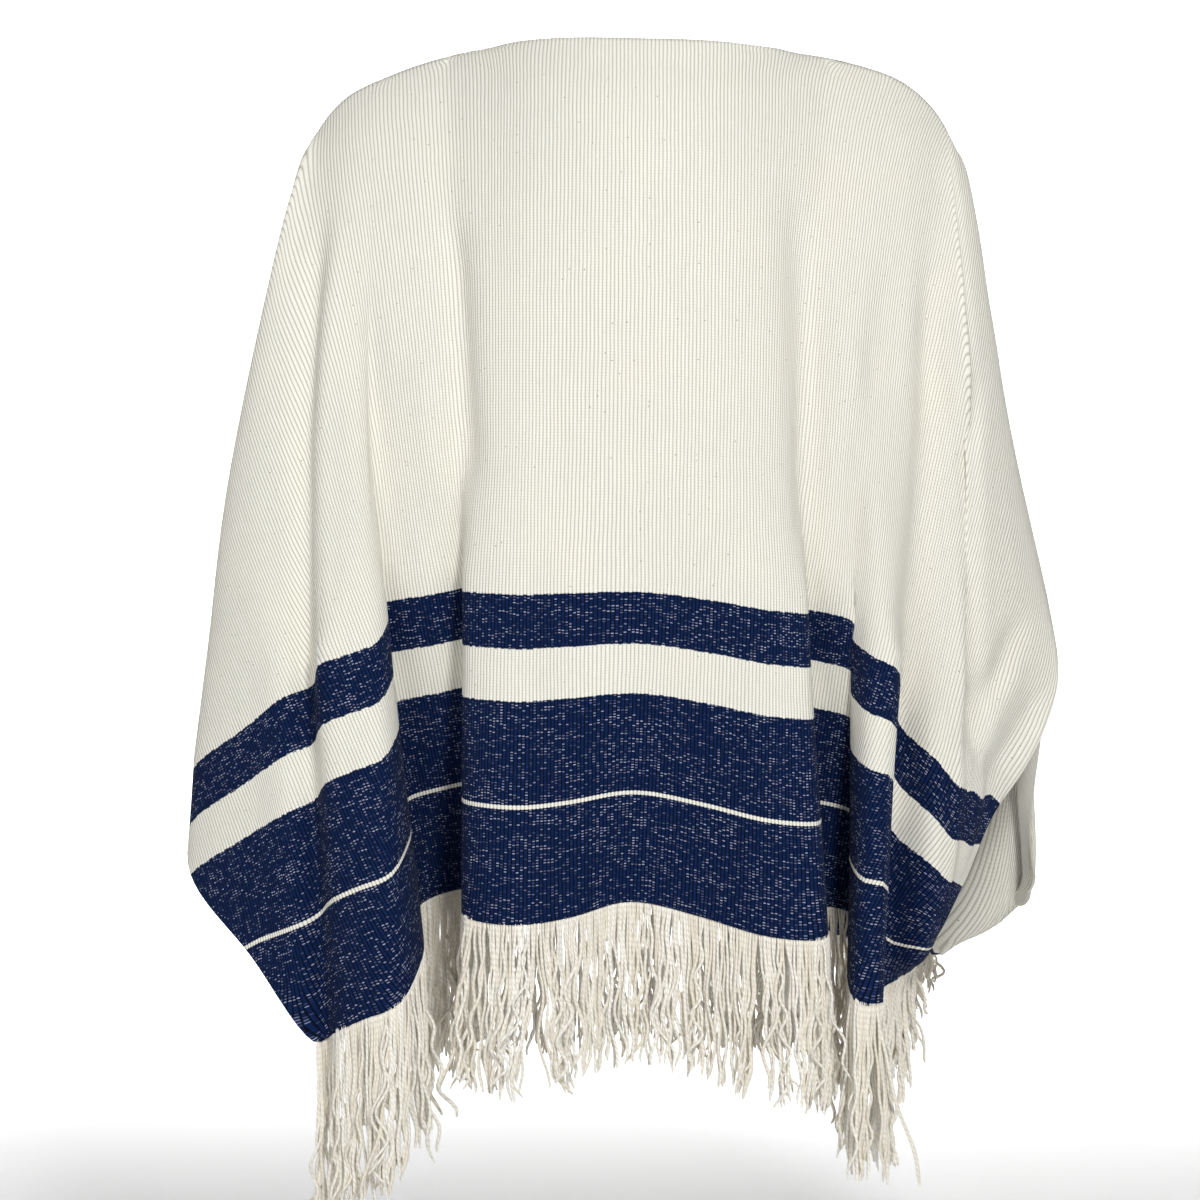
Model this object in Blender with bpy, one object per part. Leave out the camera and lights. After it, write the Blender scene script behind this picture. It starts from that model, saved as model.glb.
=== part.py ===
"""Woven poncho, worn: one wide cloth with a neck slit, a fringe at each end, hanging from the shoulders.

Metres, +Z up. The wearer's front looks along -Y and the back along +Y. The origin is the middle of the
neck opening, at the height of the shoulders.

The flat cloth has two measures: s runs across it from side edge to side edge, t runs from the shoulder
line down to the hem. A fold of the worn cloth is a straight line in the flat cloth, from the shoulder
line to the hem or to the side edge, and the tables below say where each one hangs.
"""
import bmesh
import bpy
import numpy as np

HALF_WIDTH = 0.52
PANEL_LENGTH = 0.68
CLOTH_THICKNESS = 0.0022
SEAM_GAP = 0.0003
STRIP_GAP = 0.0008
FRINGE_LENGTH = 0.125
STRAND_PITCH = 0.0165
STRIP_HEIGHT = 0.006
STRAND_TIP = 0.35
STRAND_SWAY = 0.006
STRAND_STEPS = 2
STRAND_LEAVE = 0.5
SWAY_TURN_X = 2.4
SWAY_TURN_Y = 1.7

NECK_HALF_WIDTH = 0.115
NECK_BACK_DEPTH = 0.058
NECK_FRONT_DEPTH = 0.075
NECK_BACK_DROP = 0.006
NECK_FRONT_DROP = 0.045
SHOULDER_ROUND_Y = 0.016
SHOULDER_ROUND_Z = 0.022
SHOULDER_ROUND_POWER = 4

NECK_CURVE = 0.8

ARM_START = 0.285
PANEL_ROWS = 14
ROW_CROWDING = 1.15
COLUMN_WIDTH = 0.034
MEASURING_SHARE = 0.75
SEAM_FADE = 0.02
SEAM_STEP = 0.002
ARM_NORMAL_REACH = 0.99

CLOTH_ROUGHNESS = 0.9
YARN_ROUGHNESS = 0.85

CREAM = (0.84, 0.80, 0.70, 1.0)
FRINGE_IVORY = (0.80, 0.74, 0.62, 1.0)

# The shoulder line, from the left arm over both shoulders to the right arm:
# s across the cloth, then x and z of the place where it lies.
SHOULDER_LINE = (
    (0.520, 0.300, -0.330),
    (0.400, 0.280, -0.208),
    (0.285, 0.254, -0.092),
    (0.262, 0.243, -0.070),
    (0.232, 0.222, -0.045),
    (0.195, 0.187, -0.027),
    (0.150, 0.142, -0.012),
    (0.110, 0.101, -0.004),
    (0.000, -0.010, -0.002),
    (-0.110, -0.121, -0.008),
    (-0.165, -0.175, -0.018),
    (-0.210, -0.214, -0.033),
    (-0.244, -0.237, -0.054),
    (-0.285, -0.256, -0.090),
    (-0.400, -0.281, -0.212),
    (-0.520, -0.300, -0.338),
)

# Each fold: its name, s at the shoulder line, s and t where it ends in the flat cloth,
# then (share of the way, x, y, z) for the places that it hangs through.
BACK_FOLDS = (
    ("left side, turned forward", 0.276, 0.520, 0.20, (0.5, 0.272, 0.045, -0.245),
     (1.0, 0.294, 0.075, -0.420)),
    ("left side, hollow", 0.268, 0.520, 0.36, (0.5, 0.277, 0.040, -0.300), (1.0, 0.304, 0.030, -0.530)),
    ("left outline", 0.262, 0.520, 0.512, (0.25, 0.274, 0.045, -0.205), (0.5, 0.309, 0.075, -0.367),
     (1.0, 0.329, 0.100, -0.640)),
    ("left outer panel", 0.256, 0.520, 0.60, (0.5, 0.280, 0.100, -0.392), (1.0, 0.279, 0.140, -0.697)),
    ("left corner", 0.250, 0.520, 0.68, (0.5, 0.252, 0.108, -0.408), (1.0, 0.229, 0.165, -0.757)),
    ("left crease", 0.245, 0.500, 0.68, (0.5, 0.238, 0.104, -0.406), (1.0, 0.222, 0.158, -0.754)),
    ("left ridge", 0.238, 0.478, 0.68, (0.5, 0.232, 0.130, -0.390), (1.0, 0.212, 0.182, -0.746)),
    ("left inner panel", 0.226, 0.452, 0.68, (0.5, 0.212, 0.130, -0.382), (1.0, 0.194, 0.196, -0.736)),
    ("left inner ridge", 0.214, 0.405, 0.68, (0.5, 0.193, 0.124, -0.374), (1.0, 0.165, 0.200, -0.722)),
    ("left valley lip", 0.206, 0.372, 0.68, (0.5, 0.188, 0.118, -0.364), (1.0, 0.154, 0.172, -0.698)),
    ("left valley floor, outer", 0.194, 0.272, 0.68, (0.5, 0.182, 0.108, -0.352),
     (1.0, 0.157, 0.088, -0.662)),
    ("left valley floor, middle", 0.172, 0.250, 0.68, (0.5, 0.151, 0.118, -0.348),
     (1.0, 0.143, 0.083, -0.656)),
    ("left valley floor, inner", 0.156, 0.228, 0.68, (0.5, 0.132, 0.106, -0.344),
     (1.0, 0.127, 0.088, -0.652)),
    ("middle panel, left ridge", 0.142, 0.126, 0.68, (0.5, 0.119, 0.130, -0.343),
     (1.0, 0.118, 0.174, -0.666)),
    ("middle panel, left", 0.092, 0.086, 0.68, (0.5, 0.080, 0.140, -0.344), (1.0, 0.081, 0.188, -0.669)),
    ("middle panel, soft trough", 0.055, 0.050, 0.68, (0.5, 0.050, 0.134, -0.344),
     (1.0, 0.046, 0.174, -0.665)),
    ("middle of the back", 0.004, 0.002, 0.68, (0.5, -0.006, 0.139, -0.345), (1.0, 0.004, 0.156, -0.655)),
    ("middle panel, right", -0.056, -0.056, 0.68, (0.5, -0.060, 0.140, -0.350),
     (1.0, -0.050, 0.166, -0.665)),
    ("middle panel, right crown", -0.105, -0.104, 0.68, (0.5, -0.104, 0.140, -0.356),
     (1.0, -0.096, 0.186, -0.677)),
    ("middle panel, right ridge", -0.138, -0.146, 0.68, (0.5, -0.124, 0.132, -0.358),
     (1.0, -0.134, 0.188, -0.680)),
    ("right valley floor, inner", -0.155, -0.252, 0.68, (0.5, -0.137, 0.114, -0.360),
     (1.0, -0.147, 0.096, -0.664)),
    ("right valley floor, outer", -0.180, -0.274, 0.68, (0.5, -0.158, 0.124, -0.364),
     (1.0, -0.168, 0.096, -0.670)),
    ("right valley lip", -0.200, -0.340, 0.68, (0.5, -0.170, 0.114, -0.376), (1.0, -0.158, 0.152, -0.712)),
    ("right inner panel", -0.214, -0.374, 0.68, (0.5, -0.184, 0.128, -0.386), (1.0, -0.163, 0.184, -0.726)),
    ("right ridge", -0.226, -0.402, 0.68, (0.5, -0.203, 0.132, -0.400), (0.75, -0.190, 0.157, -0.564),
     (1.0, -0.180, 0.180, -0.728)),
    ("right crease", -0.236, -0.438, 0.68, (0.5, -0.209, 0.097, -0.422), (0.64, -0.197, 0.096, -0.528),
     (0.753, -0.190, 0.100, -0.602), (0.87, -0.186, 0.106, -0.684), (1.0, -0.183, 0.108, -0.726)),
    ("right outer panel", -0.246, -0.478, 0.68, (0.5, -0.233, 0.098, -0.432), (0.64, -0.223, 0.112, -0.556),
     (0.753, -0.219, 0.116, -0.629), (0.87, -0.213, 0.118, -0.693), (1.0, -0.206, 0.094, -0.715)),
    ("right corner", -0.254, -0.520, 0.68, (0.5, -0.250, 0.100, -0.432), (0.64, -0.240, 0.106, -0.574),
     (0.753, -0.234, 0.107, -0.642), (0.87, -0.223, 0.106, -0.693), (1.0, -0.217, 0.068, -0.709)),
    ("right side edge, lowest", -0.257, -0.520, 0.60, (0.5, -0.255, 0.096, -0.404),
     (0.722, -0.250, 0.099, -0.579), (0.853, -0.240, 0.099, -0.645), (1.0, -0.223, 0.098, -0.697)),
    ("right side edge, low", -0.260, -0.520, 0.512, (0.5, -0.260, 0.090, -0.376),
     (0.75, -0.265, 0.091, -0.526), (0.846, -0.262, 0.090, -0.584), (1.0, -0.248, 0.088, -0.650)),
    ("right side edge, middle", -0.264, -0.520, 0.433, (0.5, -0.269, 0.080, -0.338),
     (0.75, -0.279, 0.078, -0.470), (1.0, -0.279, 0.068, -0.589)),
    ("under the elbow", -0.268, -0.520, 0.405, (0.5, -0.277, 0.068, -0.326), (0.75, -0.293, 0.068, -0.455),
     (1.0, -0.292, 0.053, -0.576)),
    ("elbow, lower puff", -0.272, -0.520, 0.37, (0.5, -0.281, 0.060, -0.316), (0.75, -0.300, 0.060, -0.435),
     (1.0, -0.311, 0.051, -0.550)),
    ("elbow", -0.276, -0.520, 0.33, (0.5, -0.285, 0.048, -0.304), (1.0, -0.330, 0.036, -0.512)),
    ("elbow, upper puff", -0.279, -0.520, 0.24, (0.5, -0.284, 0.033, -0.282), (1.0, -0.326, 0.034, -0.470)),
    ("above the elbow", -0.282, -0.520, 0.13, (0.5, -0.281, 0.017, -0.252), (1.0, -0.319, 0.018, -0.416)),
)
FRONT_FOLDS = (
    ("left side, turned back", 0.276, 0.520, 0.20, (0.5, 0.272, -0.045, -0.245),
     (1.0, 0.298, -0.080, -0.420)),
    ("left side, hollow", 0.268, 0.520, 0.36, (0.5, 0.278, -0.040, -0.300), (1.0, 0.308, -0.040, -0.530)),
    ("left outline", 0.262, 0.520, 0.512, (0.25, 0.272, -0.045, -0.205), (0.5, 0.306, -0.080, -0.365),
     (1.0, 0.326, -0.105, -0.645)),
    ("left outer panel", 0.256, 0.520, 0.60, (0.5, 0.280, -0.105, -0.388), (1.0, 0.285, -0.150, -0.700)),
    ("left corner", 0.250, 0.520, 0.68, (0.5, 0.254, -0.115, -0.400), (1.0, 0.236, -0.176, -0.752)),
    ("left ridge", 0.236, 0.470, 0.68, (0.5, 0.232, -0.138, -0.385), (1.0, 0.212, -0.204, -0.748)),
    ("left inner panel", 0.216, 0.410, 0.68, (0.5, 0.200, -0.142, -0.372), (1.0, 0.174, -0.206, -0.728)),
    ("left valley, outer", 0.196, 0.318, 0.68, (0.5, 0.176, -0.126, -0.355), (1.0, 0.160, -0.130, -0.684)),
    ("left valley, inner", 0.170, 0.272, 0.68, (0.5, 0.142, -0.128, -0.350), (1.0, 0.132, -0.126, -0.676)),
    ("chest, left ridge", 0.148, 0.172, 0.68, (0.5, 0.116, -0.156, -0.350), (1.0, 0.116, -0.206, -0.690)),
    ("chest, left", 0.092, 0.104, 0.68, (0.5, 0.070, -0.166, -0.352), (1.0, 0.066, -0.214, -0.694)),
    ("chest, soft trough", 0.040, 0.044, 0.68, (0.5, 0.022, -0.158, -0.350), (1.0, 0.018, -0.190, -0.684)),
    ("middle of the front", -0.010, -0.012, 0.68, (0.5, -0.022, -0.164, -0.352),
     (1.0, -0.026, -0.204, -0.688)),
    ("chest, right", -0.082, -0.088, 0.68, (0.5, -0.080, -0.166, -0.354), (1.0, -0.082, -0.220, -0.698)),
    ("chest, right ridge", -0.140, -0.160, 0.68, (0.5, -0.124, -0.152, -0.352),
     (1.0, -0.126, -0.196, -0.694)),
    ("right valley, inner", -0.164, -0.256, 0.68, (0.5, -0.142, -0.128, -0.352),
     (1.0, -0.134, -0.122, -0.676)),
    ("right valley, outer", -0.184, -0.300, 0.68, (0.5, -0.168, -0.126, -0.356),
     (1.0, -0.158, -0.124, -0.682)),
    ("right inner panel", -0.208, -0.372, 0.68, (0.5, -0.196, -0.142, -0.372),
     (1.0, -0.172, -0.200, -0.716)),
    ("right ridge", -0.222, -0.412, 0.68, (0.5, -0.224, -0.134, -0.392), (1.0, -0.204, -0.214, -0.724)),
    ("lobe, inner", -0.232, -0.450, 0.68, (0.40, -0.250, -0.108, -0.430), (0.57, -0.248, -0.102, -0.680),
     (0.64, -0.244, -0.130, -0.712), (0.85, -0.232, -0.205, -0.655), (1.0, -0.226, -0.214, -0.716)),
    ("lobe, middle", -0.242, -0.488, 0.68, (0.38, -0.286, -0.082, -0.430), (0.56, -0.278, -0.062, -0.688),
     (0.62, -0.272, -0.088, -0.712), (0.84, -0.250, -0.195, -0.640), (1.0, -0.244, -0.206, -0.698)),
    ("right corner", -0.250, -0.520, 0.68, (0.36, -0.308, -0.064, -0.430), (0.55, -0.308, -0.042, -0.668),
     (0.61, -0.303, -0.070, -0.694), (0.84, -0.270, -0.180, -0.625), (1.0, -0.262, -0.194, -0.680)),
    ("lobe, outer", -0.256, -0.520, 0.54, (0.45, -0.308, -0.052, -0.420), (0.70, -0.322, -0.034, -0.648),
     (0.77, -0.319, -0.048, -0.670), (1.0, -0.300, -0.090, -0.674)),
    ("lobe tip", -0.261, -0.520, 0.42, (0.5, -0.302, -0.042, -0.400), (0.80, -0.304, -0.032, -0.570),
     (1.0, -0.320, -0.028, -0.655)),
    ("under the elbow", -0.266, -0.520, 0.32, (0.5, -0.308, -0.034, -0.340), (1.0, -0.306, -0.026, -0.590)),
    ("elbow", -0.272, -0.520, 0.22, (0.5, -0.294, -0.026, -0.280), (1.0, -0.340, -0.022, -0.505)),
    ("above the elbow", -0.279, -0.520, 0.11, (0.5, -0.280, -0.012, -0.240), (1.0, -0.316, -0.014, -0.400)),
)


def clear_scene():
    for item in list(bpy.data.objects):
        bpy.data.objects.remove(item, do_unlink=True)


def material(name, colour, roughness):
    made = bpy.data.materials.new(name)
    made.use_nodes = True
    shader = made.node_tree.nodes["Principled BSDF"]
    shader.inputs["Base Color"].default_value = colour
    shader.inputs["Roughness"].default_value = roughness
    shader.inputs["Metallic"].default_value = 0.0
    made.diffuse_color = colour
    return made


def smooth_curve(knots, values, places):
    """Values at these places on a smooth curve through the values at the knots."""
    knots = np.asarray(knots, float)
    values = np.asarray(values, float)
    places = np.clip(places, knots[0], knots[-1])
    slopes = np.gradient(values, knots, axis=0)
    index = np.clip(np.searchsorted(knots, places, side="right") - 1, 0, len(knots) - 2)
    span = knots[index + 1] - knots[index]
    share = ((places - knots[index]) / span)[:, None]
    span = span[:, None]
    ahead = share * share * (3.0 - 2.0 * share)
    leave = share * (1.0 - share) ** 2
    arrive = share * share * (1.0 - share)
    return (values[index] * (1.0 - ahead) + values[index + 1] * ahead
            + span * (leave * slopes[index] - arrive * slopes[index + 1]))


def shoulder_point(s, facing):
    """The place on the shoulder line or neck edge of the panel that faces +1 back or -1 front."""
    line = np.array(SHOULDER_LINE)[::-1]
    x, z = smooth_curve(line[:, 0], line[:, 1:], np.array([s]))[0]
    open_share = max(0.0, 1.0 - (s / NECK_HALF_WIDTH) ** 2)
    depth = NECK_BACK_DEPTH if facing > 0 else NECK_FRONT_DEPTH
    drop = NECK_BACK_DROP if facing > 0 else NECK_FRONT_DROP
    y = facing * (SEAM_GAP / 2 + depth * open_share ** NECK_CURVE)
    return np.array([x, y, z - drop * open_share])


def arm_line(s_from, s_to, places, facing):
    """The shoulder line where it runs down an arm, which is the last line of a panel on that side."""
    return np.array([shoulder_point(s_from + (s_to - s_from) * place, facing) for place in places])


def fold_line(fold, places, facing):
    """The points of one fold at these shares of its way, rounded over the top of the shoulder."""
    stations = [(0.0, *shoulder_point(fold[1], facing)), *fold[4:]]
    stations = np.array(stations)
    points = smooth_curve(stations[:, 0], stations[:, 1:], places)
    power = SHOULDER_ROUND_POWER
    peak = power ** power / (power + 1) ** (power + 1)
    rounding = places * (1.0 - places) ** power / peak
    points[:, 1] += facing * SHOULDER_ROUND_Y * rounding
    points[:, 2] += SHOULDER_ROUND_Z * rounding
    return points


def flat_ends(folds):
    """Start and end of every line in the flat cloth, with an arm line before the folds and one after."""
    side = (ARM_START, HALF_WIDTH, 0.0)
    return [side, *((fold[1], fold[2], fold[3]) for fold in folds), (-side[0], -side[1], 0.0)]


def line_places(folds):
    """How far across each line is, measured in the flat cloth at the same share of the way down."""
    share = MEASURING_SHARE
    points = [(s + (s_end - s) * share, t_end * share) for s, s_end, t_end in flat_ends(folds)]
    steps = [np.hypot(b[0] - a[0], b[1] - a[1]) for a, b in zip(points, points[1:])]
    return np.concatenate([[0.0], np.cumsum(steps)])


def panel_surface(folds, facing, columns, places):
    """Points of the middle of the cloth: one row of them for each column, from the shoulders down."""
    ends = flat_ends(folds)
    lines = [arm_line(*ends[0][:2], places, facing)]
    lines += [fold_line(fold, places, facing) for fold in folds]
    lines.append(arm_line(*ends[-1][:2], places, facing))
    lines = np.array(lines).reshape(len(lines), -1)
    points = smooth_curve(line_places(folds), lines, columns).reshape(len(columns), len(places), 3)
    if places[0] == 0.0:
        starts = np.interp(columns, line_places(folds), [end[0] for end in ends])
        points[:, 0] = [shoulder_point(s, facing) for s in starts]
    return points


def panel_columns(folds):
    """Columns on every fold line, with more between lines that lie far apart."""
    columns = []
    lines = line_places(folds)
    for start, end in zip(lines, lines[1:]):
        parts = max(1, round((end - start) / COLUMN_WIDTH))
        columns += [start + (end - start) * part / parts for part in range(parts)]
    return np.array([*columns, lines[-1]])


def seam_normal(s):
    """Unit normal of the shoulder line at s, square to the seam between the two panels."""
    step = shoulder_point(s + SEAM_STEP, 1) - shoulder_point(s - SEAM_STEP, 1)
    normal = np.array([-step[2], 0.0, step[0]])
    return normal / np.linalg.norm(normal)


def outward_normals(points, folds, columns, places, facing):
    """Unit normals of the surface, turned flat where the panels meet so that their edges stay parallel."""
    normals = facing * np.cross(np.gradient(points, axis=1), np.gradient(points, axis=0))
    normals[:, :, 1] *= np.clip(np.abs(points[:, :, 1]) / SEAM_FADE, 0.0, 1.0)
    ends = flat_ends(folds)
    for i, s in enumerate(np.interp(columns, line_places(folds), [end[0] for end in ends])):
        if abs(s) > NECK_HALF_WIDTH:
            normals[i, 0] = seam_normal(s)
    for i, end in ((0, ends[0]), (-1, ends[-1])):
        reach = (end[1] - end[0]) * ARM_NORMAL_REACH
        normals[i] = [seam_normal(end[0] + reach * place) for place in places]
    return normals / np.linalg.norm(normals, axis=2, keepdims=True)


def closed_mesh(name, points, faces, surface):
    mesh = bpy.data.meshes.new(name)
    mesh.from_pydata([tuple(point) for point in points], [], faces)
    mesh.materials.append(surface)
    shape = bmesh.new()
    shape.from_mesh(mesh)
    bmesh.ops.recalc_face_normals(shape, faces=shape.faces)
    shape.to_mesh(mesh)
    shape.free()
    mesh.shade_smooth()
    made = bpy.data.objects.new(name, mesh)
    bpy.context.collection.objects.link(made)
    return made


def panel_skins(folds, facing):
    """Columns of a panel, the points of its middle surface, and the way from there to its outer skin."""
    places = (np.arange(PANEL_ROWS + 1) / PANEL_ROWS) ** ROW_CROWDING
    columns = panel_columns(folds)
    middle = panel_surface(folds, facing, columns, places)
    half = outward_normals(middle, folds, columns, places, facing) * CLOTH_THICKNESS / 2
    return columns, middle, half


def make_panel(name, folds, facing, surface):
    """One half of the cloth: two skins a cloth thickness apart, joined round all four edges."""
    _, middle, half = panel_skins(folds, facing)
    across, down, _ = middle.shape
    points = np.concatenate([(middle + half).reshape(-1, 3), (middle - half).reshape(-1, 3)])
    inner = across * down
    faces = []
    for i in range(across - 1):
        for j in range(down - 1):
            corner = i * down + j
            ring = (corner, corner + 1, corner + down + 1, corner + down)
            faces.append(ring)
            faces.append(tuple(inner + index for index in reversed(ring)))
    rim = [i * down for i in range(across)]
    rim += [(across - 1) * down + j for j in range(1, down)]
    rim += [i * down + down - 1 for i in reversed(range(across - 1))]
    rim += [j for j in reversed(range(1, down - 1))]
    for here, after in zip(rim, rim[1:] + rim[:1]):
        faces.append((here, after, after + inner, here + inner))
    return closed_mesh(name, points, faces, surface)


def hem_frame(folds, facing):
    """Places along the faceted hem, two for each strand, with the ways down and out there."""
    columns, middle, half = panel_skins(folds, facing)
    lines = line_places(folds)
    hem = [(place, end[1]) for end, place in zip(flat_ends(folds), lines) if end[2] == PANEL_LENGTH]
    place, cut = np.array(hem).T
    columns = np.round(columns, 9)
    inside = (columns >= round(place[0], 9)) & (columns <= round(place[-1], 9))
    widths = -np.diff(np.interp(columns[inside], place, cut))
    wanted = [0.0]
    for i, width in enumerate(widths):
        pieces = 2 * max(1, round(width / STRAND_PITCH))
        wanted += [i + (piece + 1) / pieces for piece in range(pieces)]
    down = middle[:, -1] - middle[:, -2]
    down /= np.linalg.norm(down, axis=1, keepdims=True)
    frame = []
    for values in (middle[:, -1], down, half[:, -1]):
        along = [np.interp(wanted, range(inside.sum()), values[inside][:, axis]) for axis in range(3)]
        frame.append(np.array(along).T)
    return frame


def make_fringe(name, folds, facing, surface):
    """A narrow strip along the hem with a tapering strand hanging from every second length of it."""
    edge, down, half = hem_frame(folds, facing)
    top = edge + down * STRIP_GAP
    foot = top + down * STRIP_HEIGHT
    points = [point for i in range(len(edge)) for point in
              (top[i] + half[i], top[i] - half[i], foot[i] - half[i], foot[i] + half[i])]
    last = 4 * (len(edge) - 1)
    faces = [(0, 1, 2, 3), (last + 3, last + 2, last + 1, last)]
    for i in range(len(edge) - 1):
        here, after = 4 * i, 4 * i + 4
        faces += [(here, after, after + 1, here + 1), (here + 1, after + 1, after + 2, here + 2),
                  (here, here + 3, after + 3, after)]
        root = (here + 3, here + 2, after + 2, after + 3)
        if i % 2:
            faces.append(root)
        else:
            add_strand(points, faces, root, (down[i] + down[i + 1]) / 2, i)
    return closed_mesh(name, points, faces, surface)


def add_strand(points, faces, root, leave, number):
    """A strand grown from the root quad: it leaves along the cloth and soon hangs straight down."""
    corners = np.array([points[index] for index in root])
    centre = corners.mean(axis=0)
    spread = corners - centre
    turns = np.sin(SWAY_TURN_X * number), np.cos(SWAY_TURN_Y * number), 0.0
    sway = STRAND_SWAY * np.array(turns)
    reach = FRINGE_LENGTH - STRIP_HEIGHT
    ring = root
    for step in range(1, STRAND_STEPS + 1):
        share = step / STRAND_STEPS
        way = leave * (1.0 - share) ** 2 * STRAND_LEAVE + np.array([0.0, 0.0, -1.0])
        centre = centre + way / np.linalg.norm(way) * reach / STRAND_STEPS + sway * share / STRAND_STEPS
        size = 1.0 - (1.0 - STRAND_TIP) * share
        start = len(points)
        points += [centre + corner * size for corner in spread]
        following = tuple(range(start, start + 4))
        faces += [(ring[k], ring[(k + 1) % 4], following[(k + 1) % 4], following[k]) for k in range(4)]
        ring = following
    faces.append(ring)


def build():
    clear_scene()
    cloth = material("cream cloth", CREAM, CLOTH_ROUGHNESS)
    yarn = material("ivory yarn", FRINGE_IVORY, YARN_ROUGHNESS)
    for side, folds, facing in (("back", BACK_FOLDS, 1), ("front", FRONT_FOLDS, -1)):
        make_panel(side + "_panel", folds, facing, cloth)
        make_fringe(side + "_fringe", folds, facing, yarn)


build()
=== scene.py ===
"""Looks of the woven poncho: the ribbed cloth with its folds, the yarn fringe, the light and the camera.

Metres, +Z up. s runs across the flat cloth and t runs from the shoulder line down to the hem, as in the
model's own construction, so every rib and band follows the drape.
"""

import bpy
import numpy as np
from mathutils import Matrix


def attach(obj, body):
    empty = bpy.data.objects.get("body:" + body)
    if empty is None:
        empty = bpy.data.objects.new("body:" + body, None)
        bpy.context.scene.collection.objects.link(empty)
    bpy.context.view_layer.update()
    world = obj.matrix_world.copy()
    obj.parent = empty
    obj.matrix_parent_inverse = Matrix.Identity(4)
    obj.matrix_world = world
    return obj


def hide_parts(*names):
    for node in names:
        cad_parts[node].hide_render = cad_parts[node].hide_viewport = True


HALF_WIDTH = 0.52
PANEL_LENGTH = 0.68
CLOTH_THICKNESS = 0.0022
SEAM_GAP = 0.0

NECK_HALF_WIDTH = 0.115
NECK_BACK_DEPTH = 0.058
NECK_FRONT_DEPTH = 0.075
NECK_BACK_DROP = 0.006
NECK_FRONT_DROP = 0.045
NECK_CURVE = 0.8
ARM_START = 0.285
MEASURING_SHARE = 0.75
SHOULDER_ROUND_Y = 0.016
SHOULDER_ROUND_Z = 0.022
SHOULDER_ROUND_POWER = 4

# The grid of each panel: rows crowd towards the shoulder, and one more row stands just before the hem.
COLUMNS = 236
ROWS = 92
ROW_CROWDING = 1.08
EDGE_STEP = 0.003
WELD_REACH = 0.00005

# How far the folds are rounded off, by t, and in how many passes over the neighbouring columns.
SOFTNESS = ((0.0, 0.03, 0.33, 0.42), (0.0, 1.0, 1.0, 0.02))
SOFT_PASSES = 30
LEVEL_PASSES = 40
BAND_PASSES = 4

# The weave. Ribs keep the place that the flat cloth gives them near the middle, where the start of their
# column is less than RIB_STILL from it, and where the back is gathered, past RIB_GATHERED.
RIB_PITCH = 0.0029
WEFT_PITCH = 0.0021
THREAD_DRIFT = 0.0016
RIB_STILL = 0.13
RIB_GATHERED = -0.252
RIB_HOLD = 0.000001
RIB_ROUNDS = 500
LEAST_STEP = 0.000001
TINY = 1e-30

# Bands by t: the upper one from and to, the lower one from, the middle of the thick weft and its edges.
UPPER_BAND = (0.433, 0.473)
LOWER_BAND = 0.512
THICK_WEFT = 0.592
THICK_WEFT_EDGES = (0.0016, 0.0010)
BAND_BLUR = 0.0003
BAND_JOG = 0.0009
BAND_SCALLOP = -0.0004
WEFT_SCALLOP = -0.0005
# On the front the cloth right of this s is turned under and plain.
TURNED_EDGE = -0.462

# Seed specks: cells per metre, radius in cells, share of cells that have one, how dark.
SPECKS = (
    (190.0, 0.13, 0.15, 0.75),
    (330.0, 0.15, 0.10, 0.45),
)

# How high the weave stands, in metres.
RIB_HEIGHT = 0.00042
WEFT_HEIGHT = 0.00006
GRAIN_HEIGHT = 0.00012
THICK_WEFT_HEIGHT = 0.0006

CREAM_DULL = (0.87, 0.85, 0.75, 1.0)
CREAM_LIGHT = (0.98, 0.97, 0.91, 1.0)
CREAM_WARM = (0.95, 0.93, 0.83, 1.0)
# Painted shade: the darker cream that the grooves between the ribs get.
CREAM_GROOVE_SHADE = (0.58, 0.56, 0.47, 1.0)
# Painted shade: the darker cream in the dips between the wefts.
CREAM_WEFT_GAP_SHADE = (0.45, 0.43, 0.35, 1.0)
SEED_BROWN = (0.17, 0.11, 0.06, 1.0)
# Painted shade: the darker navy in the grooves between the ribs.
NAVY_GROOVE_SHADE = (0.0008, 0.002, 0.007, 1.0)
NAVY_CROWN = (0.0042, 0.016, 0.072, 1.0)
FLECK = (0.50, 0.53, 0.70, 1.0)
YARN_WARM = (0.87, 0.81, 0.69, 1.0)
YARN_LIGHT = (0.99, 0.97, 0.90, 1.0)
# Painted shade: the darker ivory in the grooves between the plies of a yarn.
YARN_PLY_SHADE = (0.76, 0.71, 0.61, 1.0)
FLOOR_DULL = (0.90, 0.90, 0.90, 1.0)
FLOOR_LIGHT = (0.93, 0.93, 0.93, 1.0)

# The yarns of one fringe, each a tube of rings. The taper is given by share of the way down.
STRANDS = 520
STRAND_RINGS = 34
STRAND_SIDES = 5
STRAND_RADIUS = 0.0012
STRAND_WIDTHS = (0.8, 1.15)
STRAND_TUCK = 0.0025
STRAND_TAPER = ((0.0, 0.03, 0.5, 0.94, 1.0), (0.35, 0.95, 1.1, 1.1, 0.6))
STRAND_TORN = (0.86, 1.0, 1.03)
STRAND_PLIES = 2
STRAND_TWIST = 120.0
PLY_HEIGHT = 0.00022
FUZZ_HEIGHT = 0.0001

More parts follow.
